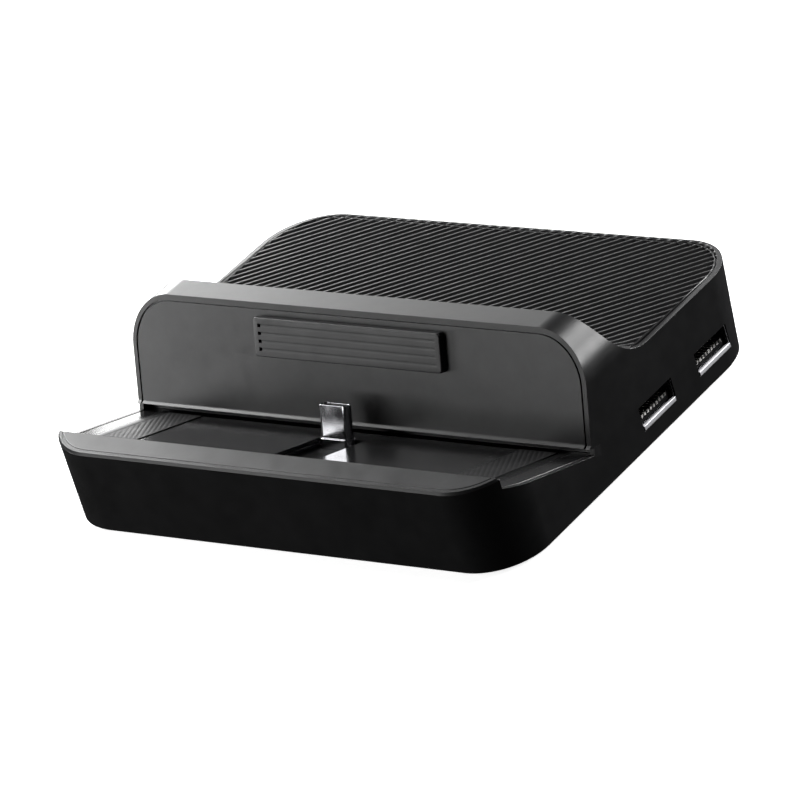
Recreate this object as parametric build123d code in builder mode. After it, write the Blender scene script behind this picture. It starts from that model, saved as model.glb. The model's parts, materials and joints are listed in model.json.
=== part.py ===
from build123d import *
import os
from math import cos, radians, sin

os.makedirs("parts", exist_ok=True)

# Driving dimensions of the outside, in millimetres
WIDTH = 128.0
DEPTH = 103.6
HEIGHT = 36.5
FOOT_RISE = 0.8
FRONT_RADIUS = 14.0
REAR_RADIUS = 15.0
REAR_LEAN = 3.0
TOWER_SHOULDER = 12.0
STRIP_REAR = -2.3
COVE = 13.2
DECK_HEIGHT = 22.4
LIP_EDGE = 0.5
BOTTOM_EDGE = 0.6

# Thicknesses of the mouldings and the play between pieces
WALL = 2.0
RIM = 1.1
SHEET = 1.8
COVER = 2.0
PLAY = 0.15
PANEL_GAP = 0.4

# The tray floor falls to the rear by the angle that the wall leans back
TILT = radians(18.3)
TRAY_Y = -31.9
TRAY_Z = 15.0
WALL_ALONG = 15.2
WALL_GAP = 1.7
WALL_GAP_DEPTH = 3.0
WALL_BEAD = 0.7
LIP_WIDTH = 6.8
LIP_FRONT_Z = 21.2
LIP_REAR_Z = 22.0

# Ribbed deck
DECK_SHEET = 1.6
DECK_ROOF = 1.5
DECK_BORDER = 1.6
DECK_GAP = 0.25
DECK_FRONT = 6.2
RIB_ANGLE = 43.5
RIB_PITCH = 2.04
RIB_GROOVE = 1.2
RIB_DEPTH = 0.8
RIB_BORDER = 1.2
RIB_SPAN = 1.4 * WIDTH

# Inlays of the tray and the pad on the wall
INLAY = 1.0
PLATE_HALF = 45.0
GRIP_WIDTH = 10.0
GRIP_PROUD = 0.2
PAD_WIDTH = 52.6
PAD_HEIGHT = 9.0
PAD_THICKNESS = 1.8
PAD_CORNER = 1.2
PAD_UP = 20.2
PAD_GROOVES = 4
PAD_GROOVE = 0.45
PAD_GROOVE_DEPTH = 0.15

# Plug in the tray and what holds it
PLUG_WIDTH = 8.3
PLUG_THICKNESS = 2.5
PLUG_SHEET = 0.3
PLUG_UP = 8.2
COLLAR = 0.45
COLLAR_UP = 0.6
PLUG_FROM_WALL = 7.3
PLUG_MOUTH = (6.8, 0.9)
PLUG_CONTACTS = 12
SLOT_HALF = 6.0
SLOT_FRONT = 14.6
SLOT_REAR = 1.8
CARRIER = 3.0
CARRIER_WIDTH = 30.0
CARRIER_EDGE = 2.6
CARRIER_PIN_X = 11.6
CARRIER_PIN = 3.6
PLUG_BOARD = 1.0
PLUG_BOARD_WIDTH = 17.0
PLUG_BOARD_LENGTH = 12.5
RIBBON = 0.3
RIBBON_WIDTH = 11.0
RIBBON_BEND = 8.0

# Main board and its sockets
BOARD_BOTTOM = 3.5
BOARD = 1.6
BOARD_LEFT = -48.0
BOARD_RIGHT = 61.0
BOARD_FRONT = -19.8
BOARD_REAR = 46.9
PORT_RECESS = 0.4
PORT_SHEET = 0.3
CONTACT = 0.2
SIDE_PORT_MOUTH = (12.5, 5.1)
SIDE_PORT_DEPTH = 14.0
SIDE_PORT_Y = {"front": 7.8, "rear": 30.4}
SIDE_PORT_BAR = 1.0
VIDEO_PORT_MOUTH = (14.2, 4.8)
VIDEO_PORT_DEPTH = 11.0
VIDEO_PORT_X = -16.0
POWER_PORT_MOUTH = (8.4, 2.6)
POWER_PORT_DEPTH = 7.5
POWER_PORT_X = 16.0

# Screws and feet
BOSSES = [(-59.0, -31.8), (59.0, -31.8), (-55.0, 41.0), (55.0, 41.0)]
BOSS = 7.0
BOSS_TOP = 11.5
SCREW_RADIUS = 1.0
SCREW_LENGTH = 6.0
HEAD_RADIUS = 2.2
HEAD = 0.8
STANDOFFS = [(-42.0, -13.8), (-42.0, 38.0), (36.0, -13.8), (36.0, 38.0)]
STANDOFF = 5.0
FOOT_RADIUS = 5.0
FOOT_X = 46.0
FOOT_Y = 34.0

COVER_TOP = FOOT_RISE + COVER
BOARD_TOP = BOARD_BOTTOM + BOARD
REAR_PORT_Y = DEPTH / 2 - REAR_LEAN * (1 - BOARD_TOP / DECK_HEIGHT)
LIP_Y = LIP_WIDTH - DEPTH / 2
TRAY_FRONT = (LIP_Y - TRAY_Y) / cos(TILT)
PLUG_ALONG = WALL_ALONG - PLUG_FROM_WALL
SLOT_LENGTH = SLOT_FRONT + SLOT_REAR
SLOT_ALONG = PLUG_ALONG + (SLOT_REAR - SLOT_FRONT) / 2

tray = Plane(
    origin=(0, TRAY_Y, TRAY_Z), x_dir=(1, 0, 0), z_dir=(0, sin(TILT), cos(TILT))
)
wall = Plane(
    origin=tray.from_local_coords((0, WALL_ALONG, 0)),
    x_dir=(1, 0, 0),
    z_dir=(0, -cos(TILT), sin(TILT)),
)


def tray_point(along, up):
    """Y and Z of a point so far to the rear along the tray floor and so far above it."""
    y = TRAY_Y + along * cos(TILT) + up * sin(TILT)
    z = TRAY_Z - along * sin(TILT) + up * cos(TILT)
    return (y, z)


# Forms shared by several pieces


def plan_outline(inset, lean):
    """The footprint from above, with the rear edge brought forward by the lean."""
    with BuildSketch() as plan:
        with Locations((0, -lean / 2)):
            Rectangle(WIDTH - 2 * inset, DEPTH - lean - 2 * inset)
        fillet(plan.vertices().group_by(Axis.Y)[0], FRONT_RADIUS - inset)
        fillet(plan.vertices().group_by(Axis.Y)[-1], REAR_RADIUS - inset)
    return plan.sketch


def envelope(inset):
    """The whole outer body, or the same body drawn in by the inset on every side."""
    with BuildPart() as body:
        with BuildSketch() as front_plan:
            with Locations((0, inset - DEPTH / 2)):
                Rectangle(WIDTH - 2 * inset, 2 * DEPTH, align=(Align.CENTER, Align.MIN))
            fillet(front_plan.vertices().group_by(Axis.Y)[0], FRONT_RADIUS - inset)
        extrude(amount=HEIGHT)
        with BuildSketch() as rear_plan:
            with Locations((0, DEPTH / 2 - REAR_LEAN - inset)):
                Rectangle(WIDTH - 2 * inset, 2 * DEPTH, align=(Align.CENTER, Align.MAX))
            fillet(rear_plan.vertices().group_by(Axis.Y)[-1], REAR_RADIUS - inset)
        extrude(amount=2 * HEIGHT, dir=(0, REAR_LEAN, DECK_HEIGHT), mode=Mode.INTERSECT)
        with BuildSketch(Plane.XZ) as shoulders:
            with Locations((0, FOOT_RISE)):
                Rectangle(
                    WIDTH - 2 * inset,
                    HEIGHT - inset - FOOT_RISE,
                    align=(Align.CENTER, Align.MIN),
                )
            fillet(shoulders.vertices().group_by(Axis.Y)[-1], TOWER_SHOULDER - inset)
        extrude(amount=DEPTH, both=True, mode=Mode.INTERSECT)
        with BuildSketch(Plane.YZ) as side:
            Rectangle(2 * DEPTH, DECK_HEIGHT - inset, align=(Align.CENTER, Align.MIN))
            with Locations((STRIP_REAR - inset, 0)):
                Rectangle(DEPTH, 2 * HEIGHT, align=(Align.MAX, Align.MIN))
            foot = side.vertices().sort_by_distance((STRIP_REAR - inset, DECK_HEIGHT - inset))[0]
            fillet(foot, COVE + inset)
        extrude(amount=WIDTH, both=True, mode=Mode.INTERSECT)
    return body.part


def tray_space(grow):
    """The space over the lip, the tray floor and the leaning wall, right across the width."""
    lip_rise = (LIP_REAR_Z - LIP_FRONT_Z) / LIP_WIDTH
    front = -DEPTH
    wall_foot = [tray_point(WALL_ALONG, WALL_GAP)]
    if grow == 0:
        wall_foot = [
            tray_point(WALL_ALONG - WALL_BEAD, WALL_GAP),
            tray_point(WALL_ALONG, WALL_GAP + WALL_BEAD),
        ]
    with BuildPart() as space:
        with BuildSketch(Plane.YZ):
            with BuildLine():
                Polyline(
                    (front, LIP_REAR_Z + lip_rise * (front - LIP_Y)),
                    (LIP_Y, LIP_REAR_Z),
                    tray_point(TRAY_FRONT, 0),
                    tray_point(WALL_ALONG + WALL_GAP_DEPTH, 0),
                    tray_point(WALL_ALONG + WALL_GAP_DEPTH, WALL_GAP),
                    *wall_foot,
                    tray_point(WALL_ALONG, 2 * HEIGHT),
                    (front, 2 * HEIGHT),
                    close=True,
                )
            make_face()
            if grow > 0:
                offset(amount=grow, kind=Kind.INTERSECTION)
        extrude(amount=WIDTH, both=True)
    return space.part


def deck_region(border, front):
    """A block over the seat of the ribbed deck, drawn in by the border and cut off at the front."""
    with BuildPart() as region:
        with BuildSketch(Plane.XY.offset(DECK_HEIGHT - DECK_SHEET)):
            add(plan_outline(border, 0))
            with Locations((0, front)):
                Rectangle(WIDTH, DEPTH, align=(Align.CENTER, Align.MIN), mode=Mode.INTERSECT)
        extrude(amount=HEIGHT)
    return region.part


def side_outline(grow):
    with BuildSketch() as outline:
        Rectangle(SIDE_PORT_MOUTH[0] + 2 * grow, SIDE_PORT_MOUTH[1] + 2 * grow)
    return outline.sketch


def video_outline(grow):
    with BuildSketch() as outline:
        Rectangle(VIDEO_PORT_MOUTH[0] + 2 * grow, VIDEO_PORT_MOUTH[1] + 2 * grow)
        chamfer(outline.vertices().group_by(Axis.Y)[0], VIDEO_PORT_MOUTH[1] / 3)
    return outline.sketch


def power_outline(grow):
    with BuildSketch() as outline:
        SlotOverall(POWER_PORT_MOUTH[0] + 2 * grow, POWER_PORT_MOUTH[1] + 2 * grow)
    return outline.sketch


def port_plane(mouth, x, y, outward):
    """Plane of a socket's mouth, for a socket that stands on the main board."""
    middle = BOARD_TOP + PORT_SHEET + mouth[1] / 2
    across = Vector(outward).cross(Vector(0, 0, 1)) * -1
    return Plane(origin=(x, y, middle), x_dir=across, z_dir=outward).offset(-PORT_RECESS)


side_planes = {
    place: port_plane(SIDE_PORT_MOUTH, WIDTH / 2, y, (1, 0, 0))
    for place, y in SIDE_PORT_Y.items()
}
video_plane = port_plane(VIDEO_PORT_MOUTH, VIDEO_PORT_X, REAR_PORT_Y, (0, 1, 0))
power_plane = port_plane(POWER_PORT_MOUTH, POWER_PORT_X, REAR_PORT_Y, (0, 1, 0))

outer = envelope(0)
deck_seat = envelope(DECK_SHEET)

# Housing
with BuildPart() as cradle_pocket:
    add(envelope(RIM))
    add(tray_space(SHEET), mode=Mode.INTERSECT)

with BuildPart() as deck_pocket:
    add(deck_region(DECK_BORDER - DECK_GAP, DECK_FRONT - DECK_GAP))
    add(deck_seat, mode=Mode.SUBTRACT)

with BuildPart() as deck_roof:
    add(deck_seat)
    add(envelope(DECK_SHEET + DECK_ROOF), mode=Mode.SUBTRACT)
    with BuildSketch(Plane.XY.offset(DECK_HEIGHT - DECK_SHEET - DECK_ROOF)):
        with Locations((0, DECK_FRONT - DECK_ROOF)):
            Rectangle(WIDTH, DEPTH, align=(Align.CENTER, Align.MIN))
    extrude(amount=HEIGHT, mode=Mode.INTERSECT)

with BuildPart() as housing:
    add(outer)
    add(tray_space(0), mode=Mode.SUBTRACT)
    lip_edges = housing.edges().filter_by(
        lambda edge: edge.center().Y < LIP_Y - RIM and edge.center().Z > LIP_FRONT_Z - LIP_EDGE
    )
    chamfer(lip_edges, LIP_EDGE)
    chamfer(housing.edges().group_by(Axis.Z)[0], BOTTOM_EDGE)
    add(cradle_pocket.part, mode=Mode.SUBTRACT)
    add(envelope(WALL), mode=Mode.SUBTRACT)
    add(deck_roof.part)
    add(deck_pocket.part, mode=Mode.SUBTRACT)
    with BuildSketch(Plane.XY.offset(COVER_TOP)):
        with Locations(*BOSSES):
            Rectangle(BOSS, BOSS)
    extrude(amount=BOSS_TOP - COVER_TOP)
    with BuildSketch(Plane.XY.offset(COVER_TOP)):
        with Locations(*BOSSES):
            Circle(SCREW_RADIUS)
    extrude(amount=SCREW_LENGTH, mode=Mode.SUBTRACT)
    with BuildSketch(Plane.XY.offset(FOOT_RISE)):
        add(plan_outline(RIM, REAR_LEAN))
    extrude(amount=COVER, mode=Mode.SUBTRACT)
    for plane in side_planes.values():
        with BuildSketch(plane):
            add(side_outline(PORT_SHEET))
        extrude(amount=WALL, both=True, mode=Mode.SUBTRACT)
    with BuildSketch(video_plane):
        add(video_outline(PORT_SHEET))
    extrude(amount=WALL, both=True, mode=Mode.SUBTRACT)
    with BuildSketch(power_plane):
        add(power_outline(PORT_SHEET))
    extrude(amount=WALL, both=True, mode=Mode.SUBTRACT)
housing.part.label = "housing"
export_step(housing.part, "parts/housing.step")

# Cradle
with BuildPart() as cradle:
    add(envelope(RIM + PANEL_GAP))
    add(tray_space(SHEET), mode=Mode.INTERSECT)
    add(tray_space(0), mode=Mode.SUBTRACT)
    with BuildSketch(tray):
        with Locations((0, (TRAY_FRONT + WALL_ALONG) / 2)):
            Rectangle(2 * (PLATE_HALF + GRIP_WIDTH), WALL_ALONG - TRAY_FRONT)
    extrude(amount=-INLAY, mode=Mode.SUBTRACT)
    with BuildSketch(tray):
        with Locations((0, SLOT_ALONG)):
            Rectangle(2 * SLOT_HALF, SLOT_LENGTH)
    extrude(amount=-SHEET, mode=Mode.SUBTRACT)
    with BuildSketch(tray.offset(-SHEET)):
        with Locations((-CARRIER_PIN_X, PLUG_ALONG), (CARRIER_PIN_X, PLUG_ALONG)):
            Rectangle(CARRIER_PIN, CARRIER_PIN)
    extrude(amount=-CARRIER)
cradle.part.label = "cradle"
export_step(cradle.part, "parts/cradle.step")

# Ribbed deck: a plate in a seat of the housing, with diagonal grooves of one depth up to its border
with BuildPart() as deck_grooves:
    with BuildSketch(Plane.XY.rotated((0, 0, RIB_ANGLE))):
        with GridLocations(0, RIB_PITCH, 1, int(RIB_SPAN / RIB_PITCH)):
            Rectangle(2 * WIDTH, RIB_GROOVE)
    extrude(amount=HEIGHT)
    add(deck_region(DECK_BORDER + RIB_BORDER, DECK_FRONT + RIB_BORDER), mode=Mode.INTERSECT)
    add(envelope(RIB_DEPTH), mode=Mode.SUBTRACT)

with BuildPart() as ribbed_deck:
    add(deck_region(DECK_BORDER, DECK_FRONT))
    add(outer, mode=Mode.INTERSECT)
    add(deck_seat, mode=Mode.SUBTRACT)
    add(deck_grooves.part, mode=Mode.SUBTRACT)
ribbed_deck.part.label = "ribbed_deck"
export_step(ribbed_deck.part, "parts/ribbed_deck.step")

# Tray plate, with the slot in front of the plug
with BuildPart() as tray_plate:
    with BuildSketch(tray):
        with Locations((0, (TRAY_FRONT + WALL_ALONG) / 2)):
            Rectangle(2 * (PLATE_HALF - PLAY), WALL_ALONG - TRAY_FRONT - 2 * PLAY)
        with Locations((0, SLOT_ALONG)):
            Rectangle(2 * SLOT_HALF, SLOT_LENGTH, mode=Mode.SUBTRACT)
    extrude(amount=-INLAY)
tray_plate.part.label = "tray_plate"
export_step(tray_plate.part, "parts/tray_plate.step")

# Grip strips beside the tray plate
for side, sign in {"left": -1, "right": 1}.items():
    with BuildPart() as grip:
        with BuildSketch(tray.offset(-INLAY)):
            with Locations((sign * (PLATE_HALF + GRIP_WIDTH / 2), (TRAY_FRONT + WALL_ALONG) / 2)):
                Rectangle(GRIP_WIDTH - 2 * PLAY, WALL_ALONG - TRAY_FRONT - 2 * PLAY)
        extrude(amount=INLAY + GRIP_PROUD)
    grip.part.label = f"grip_{side}"
    export_step(grip.part, f"parts/grip_{side}.step")

# Pad on the wall
with BuildPart() as back_pad:
    with BuildSketch(wall):
        with Locations((0, PAD_UP)):
            RectangleRounded(PAD_WIDTH, PAD_HEIGHT, PAD_CORNER)
    extrude(amount=PAD_THICKNESS)
    with BuildSketch(wall.offset(PAD_THICKNESS)):
        with Locations((0, PAD_UP)):
            with GridLocations(0, PAD_HEIGHT / (PAD_GROOVES + 1), 1, PAD_GROOVES):
                Rectangle(PAD_WIDTH - 4 * PAD_CORNER, PAD_GROOVE)
    extrude(amount=-PAD_GROOVE_DEPTH, mode=Mode.SUBTRACT)
back_pad.part.label = "back_pad"
export_step(back_pad.part, "parts/back_pad.step")

# Plug: metal sleeve with a collar at its foot, plastic lining with a mouth, two rows of contacts in it
PLUG_FOOT = -SHEET - CARRIER

with BuildPart() as plug_sleeve:
    with BuildSketch(tray.offset(PLUG_FOOT)):
        with Locations((0, PLUG_ALONG)):
            SlotOverall(PLUG_WIDTH, PLUG_THICKNESS)
            SlotOverall(
                PLUG_WIDTH - 2 * PLUG_SHEET,
                PLUG_THICKNESS - 2 * PLUG_SHEET,
                mode=Mode.SUBTRACT,
            )
    extrude(amount=PLUG_UP - PLUG_FOOT)
    with BuildSketch(tray.offset(-SHEET)):
        with Locations((0, PLUG_ALONG)):
            SlotOverall(PLUG_WIDTH + 2 * COLLAR, PLUG_THICKNESS + 2 * COLLAR)
            SlotOverall(PLUG_WIDTH - PLUG_SHEET, PLUG_THICKNESS - PLUG_SHEET, mode=Mode.SUBTRACT)
    extrude(amount=SHEET + COLLAR_UP)
plug_sleeve.part.label = "plug_sleeve"
export_step(plug_sleeve.part, "parts/plug_sleeve.step")

with BuildPart() as plug_insert:
    with BuildSketch(tray.offset(PLUG_FOOT)):
        with Locations((0, PLUG_ALONG)):
            SlotOverall(PLUG_WIDTH - 2 * PLUG_SHEET, PLUG_THICKNESS - 2 * PLUG_SHEET)
    extrude(amount=PLUG_UP - PLUG_FOOT - PLUG_SHEET)
    with BuildSketch(tray.offset(0)):
        with Locations((0, PLUG_ALONG)):
            Rectangle(*PLUG_MOUTH)
    extrude(amount=PLUG_UP, mode=Mode.SUBTRACT)
plug_insert.part.label = "plug_insert"
export_step(plug_insert.part, "parts/plug_insert.step")

with BuildPart() as plug_contacts:
    with BuildSketch(tray.offset(0)):
        with Locations((0, PLUG_ALONG)):
            with GridLocations(0.5, PLUG_MOUTH[1] - CONTACT, PLUG_CONTACTS, 2):
                Rectangle(0.25, CONTACT)
    extrude(amount=PLUG_UP - 2 * PLUG_SHEET)
plug_contacts.part.label = "plug_contacts"
export_step(plug_contacts.part, "parts/plug_contacts.step")

# Carrier under the tray, on two pins of the cradle: it holds the plug and closes the slot from below
with BuildPart() as plug_carrier:
    with BuildSketch(tray.offset(-SHEET)):
        with Locations((0, SLOT_ALONG)):
            Rectangle(CARRIER_WIDTH, SLOT_LENGTH + 2 * CARRIER_EDGE)
        with Locations((0, PLUG_ALONG)):
            SlotOverall(PLUG_WIDTH, PLUG_THICKNESS, mode=Mode.SUBTRACT)
        with Locations((-CARRIER_PIN_X, PLUG_ALONG), (CARRIER_PIN_X, PLUG_ALONG)):
            Rectangle(CARRIER_PIN + 2 * PLAY, CARRIER_PIN + 2 * PLAY, mode=Mode.SUBTRACT)
    extrude(amount=-CARRIER)
plug_carrier.part.label = "plug_carrier"
export_step(plug_carrier.part, "parts/plug_carrier.step")

with BuildPart() as plug_board:
    with BuildSketch(tray.offset(PLUG_FOOT)):
        with Locations((0, PLUG_ALONG + CARRIER)):
            Rectangle(PLUG_BOARD_WIDTH, PLUG_BOARD_LENGTH, align=(Align.CENTER, Align.MAX))
    extrude(amount=-PLUG_BOARD)
plug_board.part.label = "plug_board"
export_step(plug_board.part, "parts/plug_board.step")

# Flat ribbon from under the plug's board to a socket on the main board
RIBBON_UP = PLUG_FOOT - PLUG_BOARD - RIBBON / 2
RIBBON_Z = BOARD_TOP + RIBBON / 2
RIBBON_CORNER = (TRAY_Z + RIBBON_UP * cos(TILT) - RIBBON_Z) / sin(TILT)
SOCKET_Y = BOARD_FRONT + 6

with BuildPart() as ribbon:
    with BuildSketch(Plane.YZ):
        with BuildLine():
            FilletPolyline(
                tray_point(PLUG_ALONG, RIBBON_UP),
                tray_point(RIBBON_CORNER, RIBBON_UP),
                (SOCKET_Y, RIBBON_Z),
                radius=RIBBON_BEND,
            )
        trace(line_width=RIBBON)
    extrude(amount=RIBBON_WIDTH / 2, both=True)
ribbon.part.label = "ribbon"
export_step(ribbon.part, "parts/ribbon.step")


def on_board(size, height, places):
    """Equal blocks that stand on the main board."""
    with BuildPart() as blocks:
        with BuildSketch(Plane.XY.offset(BOARD_TOP)):
            with Locations(*places):
                Rectangle(*size)
        extrude(amount=height)
    return blocks.part


with BuildPart() as main_board:
    with BuildSketch(Plane.XY.offset(BOARD_BOTTOM)):
        with Locations((BOARD_LEFT, BOARD_FRONT)):
            Rectangle(
                BOARD_RIGHT - BOARD_LEFT, BOARD_REAR - BOARD_FRONT, align=(Align.MIN, Align.MIN)
            )
        with Locations(BOSSES[-1]):
            Rectangle(2 * BOSS, 2 * BOSS, mode=Mode.SUBTRACT)
    extrude(amount=BOARD)
main_board.part.label = "main_board"
export_step(main_board.part, "parts/main_board.step")

BOARD_BLOCKS = {
    "ribbon_socket": ((14.0, 4.0), 1.5, [(0.0, SOCKET_Y + 2)]),
    "converter_chip": ((10.0, 10.0), 1.0, [(-18.0, 16.0)]),
    "hub_chip": ((8.0, 8.0), 0.9, [(30.0, 18.0)]),
    "power_chip": ((5.0, 5.0), 0.9, [(12.0, 20.0)]),
    "inductors": ((6.0, 6.0), 3.0, [(4.0, 30.0), (4.0, 12.0)]),
    "crystal": ((5.0, 3.2), 1.2, [(20.0, 8.0)]),
}

for name, (size, height, places) in BOARD_BLOCKS.items():
    block = on_board(size, height, places)
    block.label = name
    export_step(block, f"parts/{name}.step")

with BuildPart() as capacitors:
    with BuildSketch(Plane.XY.offset(BOARD_TOP)):
        with Locations((-34.0, 10.0), (-34.0, 20.0)):
            Circle(3.0)
    extrude(amount=6.0)
capacitors.part.label = "capacitors"
export_step(capacitors.part, "parts/capacitors.step")


def port(name, plane, outline, depth, tongue, tongue_y, row, lip, bar):
    """A socket: metal shield, some with a bar along the mouth, a tongue and rows of contacts on it."""
    width, thickness = tongue
    count, pitch, contact_width, faces = row
    setback = 1.0

    with BuildPart() as shield:
        with BuildSketch(plane):
            add(outline(PORT_SHEET))
        extrude(amount=-depth)
        with BuildSketch(plane):
            add(outline(0))
        extrude(amount=PORT_SHEET - depth, mode=Mode.SUBTRACT)
        if bar > 0:
            with BuildSketch(plane.offset(PORT_RECESS)):
                with Locations((0, -SIDE_PORT_MOUTH[1] / 2 - PORT_SHEET)):
                    Rectangle(SIDE_PORT_MOUTH[0], bar, align=(Align.CENTER, Align.MIN))
            extrude(amount=-2 * PORT_RECESS)
    shield.part.label = f"{name}_shield"
    export_step(shield.part, f"parts/{name}_shield.step")

    with BuildPart() as blade:
        with BuildSketch(plane.offset(-setback)):
            with Locations((0, tongue_y)):
                Rectangle(width, thickness)
        extrude(amount=setback + PORT_SHEET - depth)
    blade.part.label = f"{name}_tongue"
    export_step(blade.part, f"parts/{name}_tongue.step")

    with BuildPart() as contacts:
        with BuildSketch(plane.offset(-setback)):
            for face in faces:
                with Locations((0, tongue_y + face * (thickness + CONTACT) / 2)):
                    with GridLocations(pitch, 0, count, 1):
                        Rectangle(contact_width, CONTACT)
        extrude(amount=-depth / 2)
        if lip > 0:
            with BuildSketch(plane.offset(-setback)):
                with Locations((0, tongue_y + thickness / 2 + CONTACT)):
                    with GridLocations(pitch, 0, count, 1):
                        Rectangle(contact_width, lip, align=(Align.CENTER, Align.MAX))
            extrude(amount=CONTACT)
    contacts.part.label = f"{name}_contacts"
    export_step(contacts.part, f"parts/{name}_contacts.step")


UPPER = [1]
BOTH = [1, -1]
for place, plane in side_planes.items():
    name = f"side_port_{place}"
    row = (9, 1.15, 0.6, UPPER)
    port(name, plane, side_outline, SIDE_PORT_DEPTH, (11.2, 1.8), -1.0, row, 0.8, SIDE_PORT_BAR)
port("video_port", video_plane, video_outline, VIDEO_PORT_DEPTH, (11.2, 1.4), 0, (10, 1.0, 0.4, BOTH), 0, 0)
port("power_port", power_plane, power_outline, POWER_PORT_DEPTH, (6.6, 0.7), 0, (12, 0.5, 0.25, BOTH), 0, 0)

# Bottom cover, with standoffs for the main board and seats for the screw heads
with BuildPart() as bottom_cover:
    with BuildSketch(Plane.XY.offset(FOOT_RISE)):
        add(plan_outline(RIM + PLAY, REAR_LEAN))
    extrude(amount=COVER)
    with BuildSketch(Plane.XY.offset(COVER_TOP)):
        with Locations(*STANDOFFS):
            Rectangle(STANDOFF, STANDOFF)
    extrude(amount=BOARD_BOTTOM - COVER_TOP)
    with BuildSketch(Plane.XY.offset(FOOT_RISE)):
        with Locations(*BOSSES):
            Circle(SCREW_RADIUS)
    extrude(amount=COVER, mode=Mode.SUBTRACT)
    with BuildSketch(Plane.XY.offset(FOOT_RISE)):
        with Locations(*BOSSES):
            Circle(HEAD_RADIUS + PLAY)
    extrude(amount=HEAD + PLAY, mode=Mode.SUBTRACT)
bottom_cover.part.label = "bottom_cover"
export_step(bottom_cover.part, "parts/bottom_cover.step")

with BuildPart() as cover_screws:
    with BuildSketch(Plane.XY.offset(FOOT_RISE + PLAY)):
        with Locations(*BOSSES):
            Circle(HEAD_RADIUS)
    extrude(amount=HEAD)
    with BuildSketch(Plane.XY.offset(FOOT_RISE + PLAY + HEAD)):
        with Locations(*BOSSES):
            Circle(SCREW_RADIUS)
    extrude(amount=SCREW_LENGTH)
cover_screws.part.label = "cover_screws"
export_step(cover_screws.part, "parts/cover_screws.step")

# Rubber feet
for depth_side, y in {"front": -FOOT_Y, "rear": FOOT_Y}.items():
    for width_side, x in {"left": -FOOT_X, "right": FOOT_X}.items():
        with BuildPart() as foot:
            with BuildSketch():
                with Locations((x, y)):
                    Circle(FOOT_RADIUS)
            extrude(amount=FOOT_RISE)
        foot.part.label = f"foot_{depth_side}_{width_side}"
        export_step(foot.part, f"parts/foot_{depth_side}_{width_side}.step")
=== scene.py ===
import json
from math import asin, cos, pi, radians, sin, sqrt

import bmesh
import bpy
from mathutils import Matrix, Vector
from mathutils.geometry import delaunay_2d_cdt


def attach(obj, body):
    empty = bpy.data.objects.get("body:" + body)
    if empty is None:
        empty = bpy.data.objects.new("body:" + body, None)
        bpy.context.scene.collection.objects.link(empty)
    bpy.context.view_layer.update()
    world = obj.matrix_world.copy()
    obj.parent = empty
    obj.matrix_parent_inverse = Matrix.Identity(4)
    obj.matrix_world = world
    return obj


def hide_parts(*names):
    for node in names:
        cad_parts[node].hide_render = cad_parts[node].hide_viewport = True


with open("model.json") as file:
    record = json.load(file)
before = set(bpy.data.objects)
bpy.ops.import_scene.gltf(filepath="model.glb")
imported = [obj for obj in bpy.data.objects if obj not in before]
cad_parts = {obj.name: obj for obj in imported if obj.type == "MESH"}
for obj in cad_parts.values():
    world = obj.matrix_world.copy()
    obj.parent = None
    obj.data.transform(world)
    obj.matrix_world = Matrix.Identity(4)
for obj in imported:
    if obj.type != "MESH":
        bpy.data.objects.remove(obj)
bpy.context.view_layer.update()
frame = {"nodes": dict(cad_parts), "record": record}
nodes = frame["nodes"]
scene = bpy.context.scene

# Shapes are worked out in millimetres, and their meshes are made in metres
MM = 0.001

# Outline of the dock
HALF_WIDTH = 64.0
HALF_DEPTH = 51.8
HEIGHT = 36.5
FRONT_RADIUS = 14.0
REAR_RADIUS = 15.0
SHOULDER_RADIUS = 12.0

# Widths of the softened edges
HOUSING_EDGE = 0.22
EDGES = {
    "cradle": 0.15,
    "plug_sleeve": 0.1,
    "tray_plate": 0.12,
    "bottom_cover": 0.2,
    "side_port_front_shield": 0.1,
    "side_port_rear_shield": 0.1,
    "video_port_shield": 0.1,
    "power_port_shield": 0.1,
}

# How edges are welded, merged, rounded and kept sharp, and how much large faces keep their own normals
WELD = 0.002
FLAT_ANGLE = radians(0.5)
ROUND_ANGLE = radians(28)
ROUND_SEGMENTS = 2
SHARP_ANGLE = radians(60)
FACE_WEIGHT = 60

# Straight steps in the round stretches of outlines
DECK_STEPS = 20
RIM_STEPS = 14
PAD_STEPS = 5
HEAD_STEPS = 32
SHANK_STEPS = 16

# Tray and wall: their tilt, the point that lengths along and up start from, the wall's face and foot
TILT = radians(18.3)
TRAY_Y = -31.9
TRAY_Z = 15.0
WALL_ALONG = 15.2
WALL_FOOT = 2.6

# Half width of the dull seat below the plate and grips, and where the polished floor starts
SEAT_HALF = 54.8
POLISH_FROM = 55.0

# Deck, with the cove at its front; a groove's section is pairs of distance from its middle and depth
DECK_Z = 22.4
DECK_SHEET = 1.6
DECK_FRONT = 6.2
DECK_BORDER = 1.6
COVE_RADIUS = 13.2
COVE_Y = 10.9
COVE_BENDS = (8.5, 9.3, 10.1, COVE_Y)
RIB_ANGLE = 43.5
RIB_PITCH = 2.04
RIB_BORDER = 0.4
REAR_BORDER = 0.1
RIB_END = 0.05
RIB_GROOVE = (
    (0.94, 0.0), (0.80, 0.035), (0.66, 0.11), (0.52, 0.22), (0.38, 0.33), (0.24, 0.41), (0.08, 0.44))

# The same grooves in the housing's rim: its rear edge, the gap at its sides and the cutting bars' sizes
RIM_EDGE = 0.35
RIM_CLEAR = 0.05
RIM_ABOVE = 0.3
SHORTEST_BAR = 1.0

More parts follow.
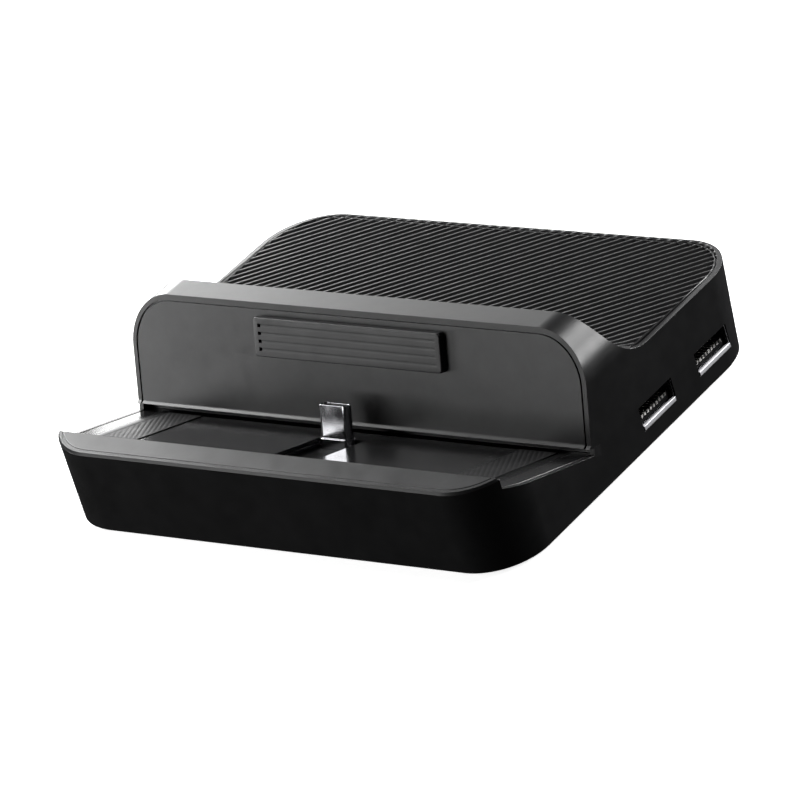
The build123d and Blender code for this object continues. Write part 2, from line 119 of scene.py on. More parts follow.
# Grips beside the tray plate, measured across and along the tray
GRIP_FROM = 45.25
GRIP_TO = 54.85
GRIP_FRONT = -13.65
GRIP_REAR = 15.05
GRIP_SHEET = 1.0
GRIP_PROUD = 0.2
GRIP_ANGLE = 121.0
GRIP_PITCH = 1.1
GRIP_BORDER = 0.3
GRIP_END = 0.3
GRIP_GROOVE = ((0.44, 0.0), (0.34, 0.007), (0.24, 0.025), (0.14, 0.043), (0.05, 0.05))

# Pad on the wall; its edge is drawn by loops of inset, corner radius and depth
PAD_HALF = 26.3
PAD_UP = 20.2
PAD_THICKNESS = 1.8
PAD_GAP = 0.02
PAD_PITCH = 1.8
PAD_LOW = -3.6
PAD_HIGH = 5.4
PAD_EDGE = ((0.0, 0.8, 0.3), (0.08, 0.75, 0.1), (0.28, 0.6, 0.0))
PAD_INSET = 1.3
PAD_MARGIN = 0.7
PAD_END = 0.04
PAD_FADE = 0.3
PAD_GROOVE = ((0.42, 0.0), (0.36, 0.01), (0.22, 0.03), (0.08, 0.045))
NOTCH_LENGTH = 0.75
NOTCH_DEPTH = 0.9

# Shortest groove that is made, and the length that a notch ends over and a bend keeps from a groove's end
SHORTEST_GROOVE = 0.2
STEP = 0.05

# Points of a face that are nearer than this are joined
NEAREST = 0.00001

# Screws of the bottom cover
SCREWS = ((-59.0, -31.8), (59.0, -31.8), (-55.0, 41.0), (55.0, 41.0))
HEAD_Z = 0.95
HEAD_HEIGHT = 0.8
HEAD_RADIUS = 2.2
HEAD_EDGE = 0.2
CROSS_MOUTH = (0.6 * HEAD_RADIUS, 0.16 * HEAD_RADIUS)
CROSS_FLOOR = (0.5 * HEAD_RADIUS, 0.1 * HEAD_RADIUS)
CROSS_DEPTH = 0.5 * HEAD_HEIGHT
SHANK_LENGTH = 6.0
SHANK_RADIUS = 1.0
SHANK_SINK = 0.02
RIDGES = 12
RIDGE_DEPTH = 0.2

# Ends of the gap below the wall, measured along and up the tray
GAP_FRONT_LEFT = 15.4
GAP_FRONT_RIGHT = 16.2
GAP_REAR = 18.6
GAP_LOW = -0.3
GAP_HIGH = 2.0
GAP_WIDTH = 1.1
GAP_PROUD = 0.02

# Seam between the cradle and the housing's rim, in from the outline and down from the surface
SEAM_FROM = 1.12
SEAM_TO = 1.48
SEAM_BASE = 1.3
LIP_SEAM_DEPTH = 0.1
WALL_SEAM_DEPTH = 0.3

# Top of the lip: its height at the front, and its rise over its depth
LIP_Z = 21.2
LIP_RISE = 0.8
LIP_DEPTH = 6.8

# Square light cards, in metres; each has an azimuth from +X and an elevation, in degrees, and a radiance
CARD_DISTANCE = 0.55
CARD_SIZE = 0.16
CARD_AIM = Vector((0, 0, 0.02))
CARDS = {
    "rear_right": ((75, 20, 63.0), (36, 17, 15.0), (48, 30, 7.0), (62, 42, 10.0)),
    "rear_left": (
        (130, -2, 4.0), (130, 12, 3.4), (130, 26, 1.1), (145, 12, 14.5), (160, 12, 18.9), (160, 26, 5.9)),
    "left": ((174, 36, 33.0), (210, -2, 20.0)),
    "front_left": ((228, 27, 4.5), (230, 14, 2.0), (250, 12, 6.5)),
}

# Floor, world and camera, with lengths in metres and the lens and sensor in millimetres
FLOOR_HALF = 6.0
FLOOR_PALE = (0.86, 0.9)
FLOOR_ROUGH = 0.9
FLOOR_GLOW = 0.85
WORLD_GLOW = 0.01
CAMERA_AZIMUTH = radians(43.98)
CAMERA_ELEVATION = radians(27.22)
CAMERA_ROLL = radians(17.85)
CAMERA_DISTANCE = 1.3253
CAMERA_TARGET = Vector((0, -0.0038, 0.0003))
CAMERA_LENS = 268.32
CAMERA_SENSOR = 36.0
CAMERA_SHIFT = (-0.0074, 0.0478)
CAMERA_REACH = 50.0


# Materials

# Scales of the noise, in cells per metre
CLOUDS = 60.0
FLECKS = 900.0
GLOSS = 260.0
STREAKS = 900.0
PATCHES = 400.0
SEAT_SPECKS = 700.0
SHEEN_SPECKS = 300.0
SHADE_SPECKS = 1200.0
FLOOR_CLOUDS = 3.0

# Grain as cells per metre, depth in metres and strength
SATIN_GRAIN = (5200.0, 0.00003, 0.10)
STREAK_DEPTH = 0.00002
STREAK_STRENGTH = 0.15

# Worn edges: the pointiness where they start and are full, and how much paler they are
WORN_FROM = 0.52
WORN_TO = 0.62
WORN_PALER = 1.6

# Tray floor: its normal along Y is sin(TILT), or 0.314, and its finish comes in over this range below that
FLOOR_NORMAL = (0.295, 0.308)

# Finish of the dull seat in that floor, with painted shade that darkens its colour under the plate and
# grips, and the sheen of its open part and of the rest of the cradle
SEAT_ROUGH = (0.75, 0.9)
SEAT_SHADE_GREYS = (0.001, 0.003)
SEAT_SHEEN = 0.05
OPEN_SHEEN = 0.5
PLAIN_SHEEN = (0.48, 0.52)


def grey(value, blue=1.04):
    """A neutral colour with a trace of blue."""
    return (value, value, value * blue)


def shader(name):
    """A new material with its node tree and main shader."""
    mat = bpy.data.materials.new(name + "_look")
    mat.use_nodes = True
    tree = mat.node_tree
    return mat, tree, tree.nodes["Principled BSDF"]


def linked(main, name):
    """What feeds an input of the main shader."""
    return main.inputs[name].links[0].from_socket


def noise(tree, scale, detail=3.0, roughness=0.55, stretch=(1, 1, 1)):
    """Noise in metres of the shared frame, so its scale is cells per metre."""
    place = tree.nodes.new("ShaderNodeTexCoord")
    mapping = tree.nodes.new("ShaderNodeMapping")
    mapping.inputs["Scale"].default_value = stretch
    tex = tree.nodes.new("ShaderNodeTexNoise")
    tex.inputs["Scale"].default_value = scale
    tex.inputs["Detail"].default_value = detail
    tex.inputs["Roughness"].default_value = roughness
    tree.links.new(place.outputs["Object"], mapping.inputs["Vector"])
    tree.links.new(mapping.outputs["Vector"], tex.inputs["Vector"])
    return tex.outputs["Fac"]


def ramp(tree, fac, low, high, start=0.3, end=0.7):
    """Spread a factor over two values or two colours."""
    node = tree.nodes.new("ShaderNodeValToRGB")
    node.color_ramp.elements[0].position = start
    node.color_ramp.elements[1].position = end
    for element, value in zip(node.color_ramp.elements, (low, high)):
        element.color = (*value, 1) if hasattr(value, "__len__") else (value, value, value, 1)
    tree.links.new(fac, node.inputs["Fac"])
    return node.outputs["Color"]


def mix(tree, fac, first, second):
    """Blend two colours or values by a factor."""
    node = tree.nodes.new("ShaderNodeMix")
    node.data_type = "RGBA"
    tree.links.new(fac, node.inputs["Factor"])
    tree.links.new(first, node.inputs["A"])
    tree.links.new(second, node.inputs["B"])
    return node.outputs["Result"]


def bump(tree, height, distance, strength):
    """A normal from a height, with its depth in metres."""
    node = tree.nodes.new("ShaderNodeBump")
    node.inputs["Distance"].default_value = distance
    node.inputs["Strength"].default_value = strength
    tree.links.new(height, node.inputs["Height"])
    return node.outputs["Normal"]


def worn_edges(tree):
    """Near 1 on the edges that handling wears, else 0."""
    geometry = tree.nodes.new("ShaderNodeNewGeometry")
    return ramp(tree, geometry.outputs["Pointiness"], 0.0, 1.0, WORN_FROM, WORN_TO)


def looking(tree, axis, low, high):
    """0 to 1 as a face turns along an axis of the frame, between two values of its normal."""
    geometry = tree.nodes.new("ShaderNodeNewGeometry")
    parts = tree.nodes.new("ShaderNodeSeparateXYZ")
    spread = tree.nodes.new("ShaderNodeMapRange")
    spread.inputs["From Min"].default_value = low
    spread.inputs["From Max"].default_value = high
    tree.links.new(geometry.outputs["True Normal"], parts.inputs["Vector"])
    tree.links.new(parts.outputs[axis], spread.inputs["Value"])
    return spread.outputs["Result"]


def off_middle(tree):
    """Distance to either side of the dock's middle, in metres."""
    place = tree.nodes.new("ShaderNodeTexCoord")
    parts = tree.nodes.new("ShaderNodeSeparateXYZ")
    width = tree.nodes.new("ShaderNodeMath")
    width.operation = "ABSOLUTE"
    tree.links.new(place.outputs["Object"], parts.inputs["Vector"])
    tree.links.new(parts.outputs["X"], width.inputs[0])
    return width.outputs["Value"]


def moulded(name, dark, light, rough, grain, ior=1.5):
    """Moulded plastic or rubber: clouded colour, uneven gloss, paler worn edges and a spark-eroded grain."""
    mat, tree, main = shader(name)
    cloud = ramp(tree, noise(tree, CLOUDS), dark, light)
    paler = ramp(tree, noise(tree, FLECKS), light, tuple(WORN_PALER * c for c in light))
    tree.links.new(mix(tree, worn_edges(tree), cloud, paler), main.inputs["Base Color"])
    tree.links.new(ramp(tree, noise(tree, GLOSS, detail=5.0), *rough), main.inputs["Roughness"])
    cells, depth, strength = grain
    tree.links.new(bump(tree, noise(tree, cells, detail=2.0), depth, strength), main.inputs["Normal"])
    main.inputs["IOR"].default_value = ior
    return mat


def metal(name, dark, light, rough, stretch, metallic=1.0):
    """Metal with fine streaks, longest along the axis whose stretch is smallest."""
    mat, tree, main = shader(name)
    main.inputs["Metallic"].default_value = metallic
    streak = noise(tree, STREAKS, detail=4.0, roughness=0.6, stretch=stretch)
    tree.links.new(ramp(tree, streak, dark, light), main.inputs["Base Color"])
    tree.links.new(ramp(tree, noise(tree, PATCHES), *rough), main.inputs["Roughness"])
    tree.links.new(bump(tree, streak, STREAK_DEPTH, STREAK_STRENGTH), main.inputs["Normal"])
    return mat


def polished_floor(mat, rough):
    """Gives the tray's floor a finer finish, and leaves the seat below its plate and grips dull, with
    painted shade that darkens its colour.
    """
    tree = mat.node_tree
    main = tree.nodes["Principled BSDF"]
    falls = looking(tree, "Y", *FLOOR_NORMAL)
    open_floor = ramp(tree, off_middle(tree), 0.0, 1.0, SEAT_HALF * MM, POLISH_FROM * MM)

    polish = ramp(tree, noise(tree, GLOSS, detail=5.0), *rough)
    dull = ramp(tree, noise(tree, SEAT_SPECKS, detail=4.0), *SEAT_ROUGH)
    floor_rough = mix(tree, open_floor, dull, polish)
    tree.links.new(mix(tree, falls, linked(main, "Roughness"), floor_rough), main.inputs["Roughness"])

    colour = linked(main, "Base Color")
    # Painted shade: the seat's colour is near black where the plate and grips shade it
    painted_seat_shade = ramp(tree, noise(tree, FLECKS), *map(grey, SEAT_SHADE_GREYS))
    floor_colour = mix(tree, open_floor, painted_seat_shade, colour)
    tree.links.new(mix(tree, falls, colour, floor_colour), main.inputs["Base Color"])

    sheen = ramp(tree, open_floor, SEAT_SHEEN, OPEN_SHEEN, 0.0, 1.0)
    plain = ramp(tree, noise(tree, SHEEN_SPECKS, detail=2.0), *PLAIN_SHEEN)
    tree.links.new(mix(tree, falls, plain, sheen), main.inputs["Specular IOR Level"])
    return mat


def shade_by_facing(mat, axis, low, high, dark, light):
    """Paints shade on the faces that look along an axis, darkening the colour where bare metal stays out of
    the light.
    """
    tree = mat.node_tree
    main = tree.nodes["Principled BSDF"]
    # Painted shade: a near-black colour mixed in by the direction a face looks
    painted_shade_colour = ramp(tree, noise(tree, SHADE_SPECKS), dark, light)
    faces = looking(tree, axis, low, high)
    tree.links.new(mix(tree, faces, linked(main, "Base Color"), painted_shade_colour), main.inputs["Base Color"])
    return mat


looks = {
    "housing_plastic": moulded("housing_plastic", grey(0.007), grey(0.010), (0.30, 0.36), SATIN_GRAIN),
    "cradle_plastic": polished_floor(
        moulded("cradle_plastic", grey(0.012), grey(0.016), (0.30, 0.36), SATIN_GRAIN), (0.10, 0.14)),
    "deck_plastic": moulded("deck_plastic", grey(0.007), grey(0.010), (0.34, 0.40), SATIN_GRAIN),
    "plate_plastic": moulded(
        "plate_plastic", grey(0.014), grey(0.018), (0.15, 0.20), (2600.0, 0.00001, 0.05)),
    "rubber": moulded("rubber", grey(0.016), grey(0.022), (0.45, 0.55), (4200.0, 0.00004, 0.15)),
    "liner_plastic": moulded(
        "liner_plastic", grey(0.003), grey(0.005), (0.5, 0.6), (5200.0, 0.00003, 0.15), 1.15),
    "chip": moulded("chip", grey(0.012), grey(0.02), (0.5, 0.6), (6000.0, 0.00003, 0.2)),
    "board": moulded(
        "board", (0.004, 0.035, 0.014), (0.008, 0.055, 0.022), (0.25, 0.35), (3000.0, 0.00003, 0.15)),
    "ribbon_film": moulded(
        "ribbon_film", (0.28, 0.10, 0.015), (0.36, 0.14, 0.025), (0.22, 0.3), (2500.0, 0.00002, 0.1)),
    "bright_metal": metal("bright_metal", grey(0.74), grey(0.86), (0.10, 0.2), (6, 6, 0.4)),
    # Painted shade: socket steel faces that look towards -Y get a near-black colour
    "socket_steel": shade_by_facing(
        metal("socket_steel", grey(0.72), grey(0.84), (0.34, 0.46), (0.4, 4, 4), 0.5),
        "Y", -0.2, -0.6, grey(0.004), grey(0.01)),
    "screw_steel": metal("screw_steel", grey(0.3), grey(0.42), (0.3, 0.42), (3, 3, 3)),
    "can_aluminium": metal("can_aluminium", grey(0.55), grey(0.68), (0.3, 0.42), (4, 4, 0.4)),
    # Painted shade: contact faces that look upwards get a dark colour
    "contact_metal": shade_by_facing(
        metal("contact_metal", (0.74, 0.72, 0.68), (0.86, 0.84, 0.8), (0.3, 0.42), (3, 3, 3)),
        "Z", 0.3, 0.7, grey(0.02), grey(0.04)),
}
grip_look = moulded("grip_rubber", grey(0.013), grey(0.018), (0.56, 0.66), (4200.0, 0.00002, 0.08), 1.38)

for row in frame["record"]["subparts"]:
    nodes[row["node"]].material_slots[0].material = looks[row["material_slot"]]


# Softened edges of the moulded and folded pieces

def smooth_group():
    """Geometry nodes that shade every face smooth."""
    group = bpy.data.node_groups.new("smooth_faces", "GeometryNodeTree")
    group.interface.new_socket("Geometry", in_out="INPUT", socket_type="NodeSocketGeometry")
    group.interface.new_socket("Geometry", in_out="OUTPUT", socket_type="NodeSocketGeometry")
    start = group.nodes.new("NodeGroupInput")
    end = group.nodes.new("NodeGroupOutput")
    smooth = group.nodes.new("GeometryNodeSetShadeSmooth")
    group.links.new(start.outputs[0], smooth.inputs["Geometry"])
    group.links.new(smooth.outputs["Geometry"], end.inputs[0])
    return group


smooth_faces = smooth_group()


def weigh_normals(piece, keep_sharp=False):
    """Lets the large faces keep their own normals."""
    weigh = piece.modifiers.new("weigh", "WEIGHTED_NORMAL")
    weigh.weight = FACE_WEIGHT
    weigh.keep_sharp = keep_sharp


def soften(piece, width, cutter=None):
    """Joins split corners, merges flat facets, rounds the edges and cuts away what a cutter fills."""
    weld = piece.modifiers.new("weld", "WELD")
    weld.merge_threshold = WELD * MM
    flat = piece.modifiers.new("flat", "DECIMATE")
    flat.decimate_type = "DISSOLVE"
    flat.angle_limit = FLAT_ANGLE
    edge = piece.modifiers.new("edge", "BEVEL")
    edge.width = width * MM
    edge.segments = ROUND_SEGMENTS
    edge.limit_method = "ANGLE"
    edge.angle_limit = ROUND_ANGLE
    edge.use_clamp_overlap = True
    edge.miter_outer = "MITER_ARC"
    if cutter:
        cut = piece.modifiers.new("cut", "BOOLEAN")
        cut.operation = "DIFFERENCE"
        cut.solver = "EXACT"
        cut.object = cutter
    shade = piece.modifiers.new("smooth", "NODES")
    shade.node_group = smooth_faces
    weigh_normals(piece)


for name, width in EDGES.items():
    soften(nodes[name], width)


# Pieces

def dress(piece, slot_name, *replaced):
    """Makes an object a piece of the dock, with a slot's look, that stands for the given solids."""
    piece.data.materials.clear()
    piece.data.materials.append(looks[slot_name])
    scene.collection.objects.link(piece)
    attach(piece, "root")
    if replaced:
        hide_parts(*replaced)
    return piece


def to_object(name, mesh):
    """Turns a built mesh, which it frees, into an object."""
    data = bpy.data.meshes.new(name)
    mesh.to_mesh(data)
    mesh.free()
    return bpy.data.objects.new(name, data)


def finish_piece(name, mesh, slot_name, *replaced):
    """A piece from a built mesh, with its faces outward, and smooth except at its sharp edges."""
    bmesh.ops.recalc_face_normals(mesh, faces=mesh.faces)
    for face in mesh.faces:
        face.smooth = True
    for edge in mesh.edges:
        edge.smooth = edge.calc_face_angle(0.0) < SHARP_ANGLE
    piece = dress(to_object(name, mesh), slot_name, *replaced)
    weigh_normals(piece, True)
    return piece


def loft(mesh, rings):
    """Adds a closed bar through rings of points."""
    corners = [[mesh.verts.new(Vector(point) * MM) for point in ring] for ring in rings]
    for first, second in zip(corners, corners[1:]):
        for i in range(len(first)):
            j = (i + 1) % len(first)
            mesh.faces.new((first[i], first[j], second[j], second[i]))
    mesh.faces.new(corners[0])
    mesh.faces.new(corners[-1])


def add_plate(mesh, field, place):
    """Adds a closed plate: the shaped face, the same outline behind it and the walls between them."""
    points, triangles = field
    top = [mesh.verts.new(Vector(place(x, y, depth, True)) * MM) for x, y, depth in points]
    base = [mesh.verts.new(Vector(place(x, y, depth, False)) * MM) for x, y, depth in points]
    sides = set()
    for a, b, c in triangles:
        mesh.faces.new((top[a], top[b], top[c]))
        mesh.faces.new((base[c], base[b], base[a]))
        sides.update(((a, b), (b, c), (c, a)))
    for a, b in sorted(sides):
        if (b, a) not in sides:
            mesh.faces.new((top[b], top[a], base[a], base[b]))


def plate(name, field, place, slot_name, *replaced):
    """A piece made of one closed plate."""
    mesh = bmesh.new()
    add_plate(mesh, field, place)
    return finish_piece(name, mesh, slot_name, *replaced)


def bar(name, rings, slot_name):
    """A piece made of one closed bar."""
    mesh = bmesh.new()
    loft(mesh, rings)
    return finish_piece(name, mesh, slot_name)


# Outlines and ribbed faces

def quarter(steps):
    """Angles from 0 to 90 degrees, in radians."""
    return [radians(90) * i / steps for i in range(steps + 1)]


def deck_outline(side, front, rear):
    """Corner points of the deck's plan, drawn in at the sides and the rear and cut off at the front."""
    x = HALF_WIDTH - REAR_RADIUS
    y = HALF_DEPTH - REAR_RADIUS
    wide = REAR_RADIUS - side
    deep = REAR_RADIUS - rear
    right = [(x + wide * cos(a), y + deep * sin(a)) for a in quarter(DECK_STEPS)]
    left = [(-px, py) for px, py in reversed(right)]
    return [(side - HALF_WIDTH, front), (HALF_WIDTH - side, front)] + right + left


def box_outline(x0, x1, y0, y1, inset=0.0):
    """Corner points of a box, drawn in by the inset."""
    left, right, low, high = x0 + inset, x1 - inset, y0 + inset, y1 - inset
    return [(left, low), (right, low), (right, high), (left, high)]


def round_box(half, low, high, radius, steps):
    """Corner points of a box with rounded corners, about x = 0."""
    corners = ((half - radius, low + radius, -90), (half - radius, high - radius, 0),
               (radius - half, high - radius, 90), (radius - half, low + radius, 180))
    turns = [(x, y, radians(start + 90 * i / steps)) for x, y, start in corners for i in range(steps + 1)]
    return [(x + radius * cos(a), y + radius * sin(a)) for x, y, a in turns]


def circle(radius, steps):
    """Corner points of a circle about the origin."""
    return [(radius * cos(2 * pi * i / steps), radius * sin(2 * pi * i / steps)) for i in range(steps)]


def cross(reach, half):
    """Corner points of a cross with four arms, by their reach and half width."""
    arm = ((reach, -half), (reach, half), (half, half))
    points = []
    for turn in range(4):
        a = radians(90 * turn)
        points += [(x * cos(a) - y * sin(a), x * sin(a) + y * cos(a)) for x, y in arm]
    return points


def at_depth(outline, depth=0.0):
    """The outline's points with one depth below the face."""
    return [(x, y, depth) for x, y in outline]


def directions(angle):
    """Unit vectors along and across a line at that angle from +X."""
    heading = Vector((cos(radians(angle)), sin(radians(angle))))
    return heading, Vector((-heading.y, heading.x))


def clip(outline, across, heading, normal):
    """Where the line at that distance across enters and leaves a convex outline, along its heading."""
    ends = []
    for a, b in zip(outline, outline[1:] + outline[:1]):
        a, b = Vector(a), Vector(b)
        da, db = a.dot(normal) - across, b.dot(normal) - across
        if (da < 0) != (db < 0):
            ends.append((a + (b - a) * da / (da - db)).dot(heading))
    return (min(ends), max(ends)) if len(ends) == 2 else None


def shaped_field(loops, lines=()):
    """Plan points with their depths, and triangles, of a face drawn by closed loops and open lines."""
    points, edges = [], []
    for loop in loops:
        first = len(points)
        points += loop
        edges += [(first + i, first + (i + 1) % len(loop)) for i in range(len(loop))]
    for line in lines:
        first = len(points)
        points += line
        edges += [(i, i + 1) for i in range(first, len(points) - 1)]
    result = delaunay_2d_cdt([Vector((x, y)) for x, y, depth in points], edges, [], 0, NEAREST)
    depths = [max((points[i][2] for i in origin), default=0.0) for origin in result[3]]
    return [(p.x, p.y, d) for p, d in zip(result[0], depths)], result[2]


def ribbed_field(loops, outer, inner, angle, pitch, groove, bends=(), notched=False):
    """A face with grooves that end between two outlines, and can bend at some y and start with a notch."""
    heading, normal = directions(angle)
    lines = []
    count = int(2 * max(Vector(p[:2]).length for p in loops[0]) / pitch)
    edges = [(sign * offset, depth) for sign in (-1, 1) for offset, depth in groove]
    for k in range(-count, count + 1):
        for offset, depth in edges:
            across = k * pitch + offset
            whole = clip(outer, across, heading, normal)
            deep = clip(inner, across, heading, normal)
            if whole is None or deep is None or deep[1] - deep[0] < SHORTEST_GROOVE:
                continue
            stops = [(whole[0], 0.0), (deep[0], depth), (deep[1], depth), (whole[1], 0.0)]
            if notched and depth:
                notch_end = deep[0] + NOTCH_LENGTH
                stops[1:2] = [(deep[0], NOTCH_DEPTH), (notch_end, NOTCH_DEPTH), (notch_end + STEP, depth)]
            for y in bends:
                u = (y - across * normal.y) / heading.y
                if deep[0] + STEP < u < deep[1] - STEP:
                    stops.append((u, depth))
            stops.sort()
            lines.append([(*(heading * u + normal * across), d) for u, d in stops])
    return shaped_field(loops, lines)


# Places on the tilted tray and its wall

def tray_point(x, along, up):
    """A point by its lengths along the tray, towards the wall, and up from it."""
    return (x, TRAY_Y + along * cos(TILT) + up * sin(TILT), TRAY_Z - along * sin(TILT) + up * cos(TILT))


def wall_point(x, z, into):
    """A point at that height on the leaning wall, or that far into it."""
    up = (z - TRAY_Z + WALL_ALONG * sin(TILT)) / cos(TILT)
    return tray_point(x, WALL_ALONG + into, up)


# Ribbed deck

def deck_place(x, y, depth, top):
    """A point of the deck, which rises at the foot of the cove."""
    radius = COVE_RADIUS if top else COVE_RADIUS + DECK_SHEET
    reach = max(COVE_Y - y, 0.0)
    return (x, y, DECK_Z + COVE_RADIUS - sqrt(radius * radius - reach * reach) - (depth if top else 0.0))


def rib_ends(end):
    """Where the deck's grooves stop, drawn in further by the length of their ends."""
    side = RIB_BORDER + end
    return deck_outline(DECK_BORDER + side, DECK_FRONT + side, DECK_BORDER + REAR_BORDER + end)


deck_field = ribbed_field(
    [at_depth(deck_outline(DECK_BORDER, DECK_FRONT, DECK_BORDER))], rib_ends(0.0), rib_ends(RIB_END),
    RIB_ANGLE, RIB_PITCH, RIB_GROOVE, COVE_BENDS)
plate("deck_ribs", deck_field, deck_place, "deck_plastic", "ribbed_deck")


# Grips beside the tray plate

def grip_place(x, along, depth, top):
    """A point of a grip in the tilted floor of the tray."""
    return tray_point(x, along, GRIP_PROUD - depth if top else -GRIP_SHEET)


for side, left, right in (("left", -GRIP_TO, -GRIP_FROM), ("right", GRIP_FROM, GRIP_TO)):
    box = (left, right, GRIP_FRONT, GRIP_REAR)
    grip_field = ribbed_field(
        [at_depth(box_outline(*box))],
        box_outline(*box, GRIP_BORDER),
        box_outline(*box, GRIP_BORDER + GRIP_END),
        GRIP_ANGLE, GRIP_PITCH, GRIP_GROOVE)
    grip = plate("grip_ribs_" + side, grip_field, grip_place, "rubber", "grip_" + side)
    grip.data.materials[0] = grip_look


# Housing, with the deck's grooves run on into its rim, up to a thin edge along the rear

def rim_bars():
    """Bars with the grooves' section, in line with the deck's grooves; only the cut uses them."""
    heading, normal = directions(RIB_ANGLE)
    half = RIB_GROOVE[0][0]
    section = [(-offset, depth) for offset, depth in RIB_GROOVE]
    section += [(offset, depth) for offset, depth in reversed(RIB_GROOVE)]
    section += [(half, -RIM_ABOVE), (-half, -RIM_ABOVE)]
    outline = deck_outline(DECK_BORDER + RIM_CLEAR, COVE_Y, RIM_EDGE)
    mesh = bmesh.new()
    count = int(2 * HALF_WIDTH / RIB_PITCH)
    for k in range(-count, count + 1):
        rows = [(k * RIB_PITCH + offset, depth) for offset, depth in section]
        spans = [clip(outline, across, heading, normal) for across, depth in rows]
        if None in spans or min(far - near for near, far in spans) < SHORTEST_BAR:
            continue
        ends = []
        for end in (0, 1):
            ends.append([(*(heading * span[end] + normal * across), DECK_Z - depth)
                         for (across, depth), span in zip(rows, spans)])
        loft(mesh, ends)
    bmesh.ops.recalc_face_normals(mesh, faces=mesh.faces)
    return to_object("rim_bars", mesh)


grooved = bpy.data.objects.new("grooved_housing", nodes["housing"].data.copy())
dress(grooved, "housing_plastic", "housing")
soften(grooved, HOUSING_EDGE, rim_bars())


# Pad on the wall: fine grooves, each with a small notch at its left end

def pad_place(x, y, depth, top):
    """A point of the pad, with y measured up the wall from the second groove."""
    along = WALL_ALONG - (PAD_THICKNESS - depth if top else PAD_GAP)
    return tray_point(x, along, PAD_UP - PAD_PITCH / 2 + y)


def pad_ends(end, fade):
    """Where the pad's grooves stop, drawn in further by the lengths of their left and right ends."""
    left = PAD_INSET + end - PAD_HALF
    right = PAD_HALF - PAD_INSET - fade
    margin = PAD_MARGIN + end
    return box_outline(left, right, PAD_LOW + margin, PAD_HIGH - margin)


pad_loops = [
    at_depth(round_box(PAD_HALF - inset, PAD_LOW + inset, PAD_HIGH - inset, radius, PAD_STEPS), depth)
    for inset, radius, depth in PAD_EDGE]
pad_field = ribbed_field(
    pad_loops, pad_ends(0.0, 0.0), pad_ends(PAD_END, PAD_FADE), 0.0, PAD_PITCH, PAD_GROOVE, notched=True)
plate("pad_ribs", pad_field, pad_place, "rubber", "back_pad")


# Screws in the bottom cover, with a cross recess and a ridged shank

def shank(x, y):
    """Rings of a shank that narrows between its ridges, sunk a little into the head."""
    rings = []
    for i in range(2 * RIDGES + 1):
        radius = SHANK_RADIUS - (RIDGE_DEPTH if i % 2 else 0.0)
        z = HEAD_Z + HEAD_HEIGHT - SHANK_SINK + (SHANK_LENGTH + SHANK_SINK) * i / (2 * RIDGES)
        rings.append([(x + dx, y + dy, z) for dx, dy in circle(radius, SHANK_STEPS)])
    return rings


head_field = shaped_field([
    at_depth(circle(HEAD_RADIUS, HEAD_STEPS), HEAD_EDGE),
    at_depth(circle(HEAD_RADIUS - HEAD_EDGE, HEAD_STEPS)),
    at_depth(cross(*CROSS_MOUTH)),
    at_depth(cross(*CROSS_FLOOR), CROSS_DEPTH)])
screws = bmesh.new()
for screw_x, screw_y in SCREWS:
    add_plate(screws, head_field, lambda x, y, depth, top: (
        screw_x + x, screw_y + y, HEAD_Z + (depth if top else HEAD_HEIGHT)))
    loft(screws, shank(screw_x, screw_y))
finish_piece("cross_screws", screws, "screw_steel", "cover_screws")


# Ends of the gap below the wall

def gap_end(name, x0, x1, front):
    """Fills the notch that the gap leaves in a side of the housing, from that far along the tray."""
    corners = ((front, GAP_LOW), (GAP_REAR, GAP_LOW), (GAP_REAR, GAP_HIGH), (front, GAP_HIGH))
    rings = [[tray_point(x, along, up) for along, up in corners] for x in (x0, x1)]
    return bar(name, rings, "housing_plastic")


gap_end("gap_end_left", -HALF_WIDTH - GAP_PROUD, GAP_WIDTH - HALF_WIDTH, GAP_FRONT_LEFT)
gap_end("gap_end_right", HALF_WIDTH - GAP_WIDTH, HALF_WIDTH + GAP_PROUD, GAP_FRONT_RIGHT)


# Seams in the lip and round the wall: the cradle's close edge in the housing's rim

def lip_line(inset):
    """Plan points along the lip's front, drawn in by the inset, from the left tip to the right tip."""
    radius = FRONT_RADIUS - inset
    x = HALF_WIDTH - FRONT_RADIUS
    y = FRONT_RADIUS - HALF_DEPTH
    start = asin((FRONT_RADIUS - LIP_DEPTH) / radius)
    turn = [start + (pi / 2 - start) * i / RIM_STEPS for i in range(RIM_STEPS + 1)]
    left = [(-x - radius * cos(a), y - radius * sin(a)) for a in turn]
    return left + [(-px, py) for px, py in reversed(left)]


def lip_point(x, y, down):
    """A point that far below the lip's top, which rises towards the tray."""
    return (x, y, LIP_Z + (y + HALF_DEPTH) * LIP_RISE / LIP_DEPTH - down)


def wall_line(inset):
    """Points across and up along the wall's rim, drawn in by the inset, from left foot to right foot."""
    radius = SHOULDER_RADIUS - inset
    x = HALF_WIDTH - SHOULDER_RADIUS
    z = HEIGHT - SHOULDER_RADIUS
    foot = TRAY_Z - WALL_ALONG * sin(TILT) + WALL_FOOT * cos(TILT)
    left = [(inset - HALF_WIDTH, foot)]
    left += [(-x - radius * cos(a), z + radius * sin(a)) for a in quarter(RIM_STEPS)]
    return left + [(-px, pz) for px, pz in reversed(left)]


def seam(name, line, point, depth):
    """A bar between two insets of a line, from that depth down to the seam's base."""
    rings = []
    for a, b in zip(line(SEAM_FROM), line(SEAM_TO)):
        rings.append((point(*a, depth), point(*b, depth), point(*b, SEAM_BASE), point(*a, SEAM_BASE)))
    return bar(name, rings, "cradle_plastic")


seam("lip_seam", lip_line, lip_point, LIP_SEAM_DEPTH)
seam("wall_seam", wall_line, wall_point, WALL_SEAM_DEPTH)


# Lights, floor, world and camera

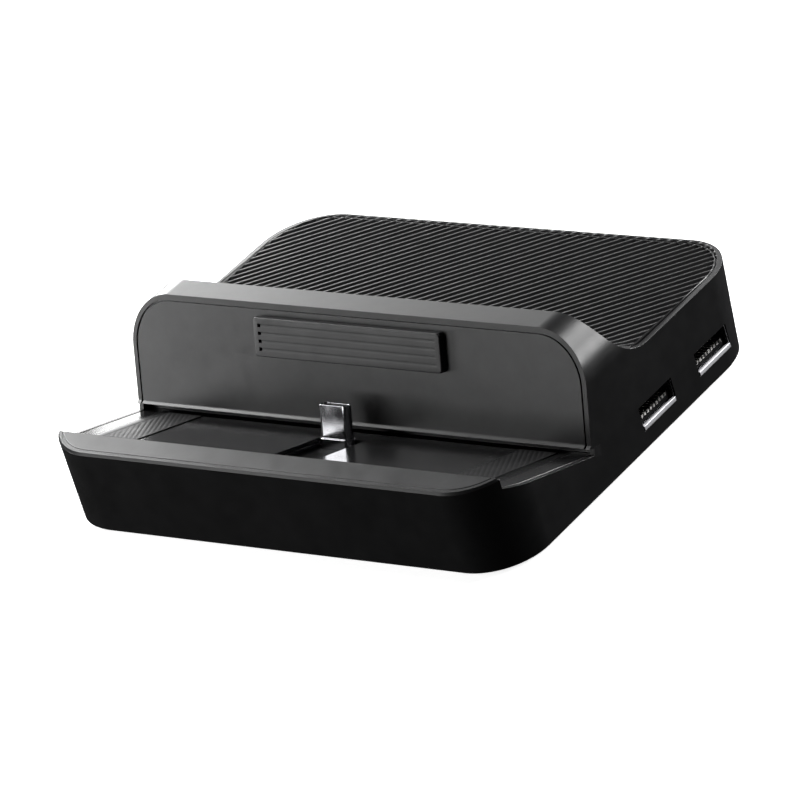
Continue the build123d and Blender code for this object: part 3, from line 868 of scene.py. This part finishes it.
def add_card(name, azimuth, elevation, radiance):
    """A square softbox that faces the dock."""
    light = bpy.data.lights.new(name, "AREA")
    light.shape = "RECTANGLE"
    light.size = CARD_SIZE
    light.size_y = CARD_SIZE
    light.energy = radiance * pi * CARD_SIZE * CARD_SIZE
    lamp = bpy.data.objects.new(name, light)
    scene.collection.objects.link(lamp)
    a, e = radians(azimuth), radians(elevation)
    away = Vector((cos(e) * cos(a), cos(e) * sin(a), sin(e)))
    lamp.location = CARD_AIM + away * CARD_DISTANCE
    lamp.rotation_euler = (-away).to_track_quat("-Z", "Y").to_euler()


def add_floor():
    """A pale floor that the camera sees, and that neither lights the dock nor is mirrored in it."""
    mesh = bpy.data.meshes.new("floor")
    corners = box_outline(-FLOOR_HALF, FLOOR_HALF, -FLOOR_HALF, FLOOR_HALF)
    mesh.from_pydata(at_depth(corners), [], [(0, 1, 2, 3)])
    mat, tree, main = shader("floor")
    tree.links.new(ramp(tree, noise(tree, FLOOR_CLOUDS), *FLOOR_PALE), main.inputs["Base Color"])
    main.inputs["Roughness"].default_value = FLOOR_ROUGH
    main.inputs["Emission Color"].default_value = (1, 1, 1, 1)
    main.inputs["Emission Strength"].default_value = FLOOR_GLOW
    mesh.materials.append(mat)
    floor = bpy.data.objects.new("floor", mesh)
    floor.visible_glossy = False
    floor.visible_diffuse = False
    scene.collection.objects.link(floor)


def set_world():
    """A faint even light from all round."""
    scene.world = bpy.data.worlds.new("studio")
    scene.world.use_nodes = True
    background = scene.world.node_tree.nodes["Background"]
    background.inputs["Color"].default_value = (1, 1, 1, 1)
    background.inputs["Strength"].default_value = WORLD_GLOW


def add_camera():
    """The camera fitted to the photograph, rolled about its line of sight."""
    flat = cos(CAMERA_ELEVATION)
    forward = Vector((-flat * sin(CAMERA_AZIMUTH), flat * cos(CAMERA_AZIMUTH), -sin(CAMERA_ELEVATION)))
    level = forward.cross(Vector((0, 0, 1))).normalized()
    below = forward.cross(level)
    right = level * cos(CAMERA_ROLL) + below * sin(CAMERA_ROLL)
    up = level * sin(CAMERA_ROLL) - below * cos(CAMERA_ROLL)
    lens = bpy.data.cameras.new("camera")
    lens.sensor_width = CAMERA_SENSOR
    lens.lens = CAMERA_LENS
    lens.shift_x, lens.shift_y = CAMERA_SHIFT
    lens.clip_end = CAMERA_REACH
    camera = bpy.data.objects.new("camera", lens)
    scene.collection.objects.link(camera)
    turn = Matrix((right, up, -forward)).transposed()
    camera.matrix_world = Matrix.Translation(CAMERA_TARGET - forward * CAMERA_DISTANCE) @ turn.to_4x4()
    scene.camera = camera


for group, cards in CARDS.items():
    for i, card in enumerate(cards):
        add_card(f"{group}_{i}", *card)
add_floor()
set_world()
add_camera()
scene.view_settings.view_transform = "Standard"
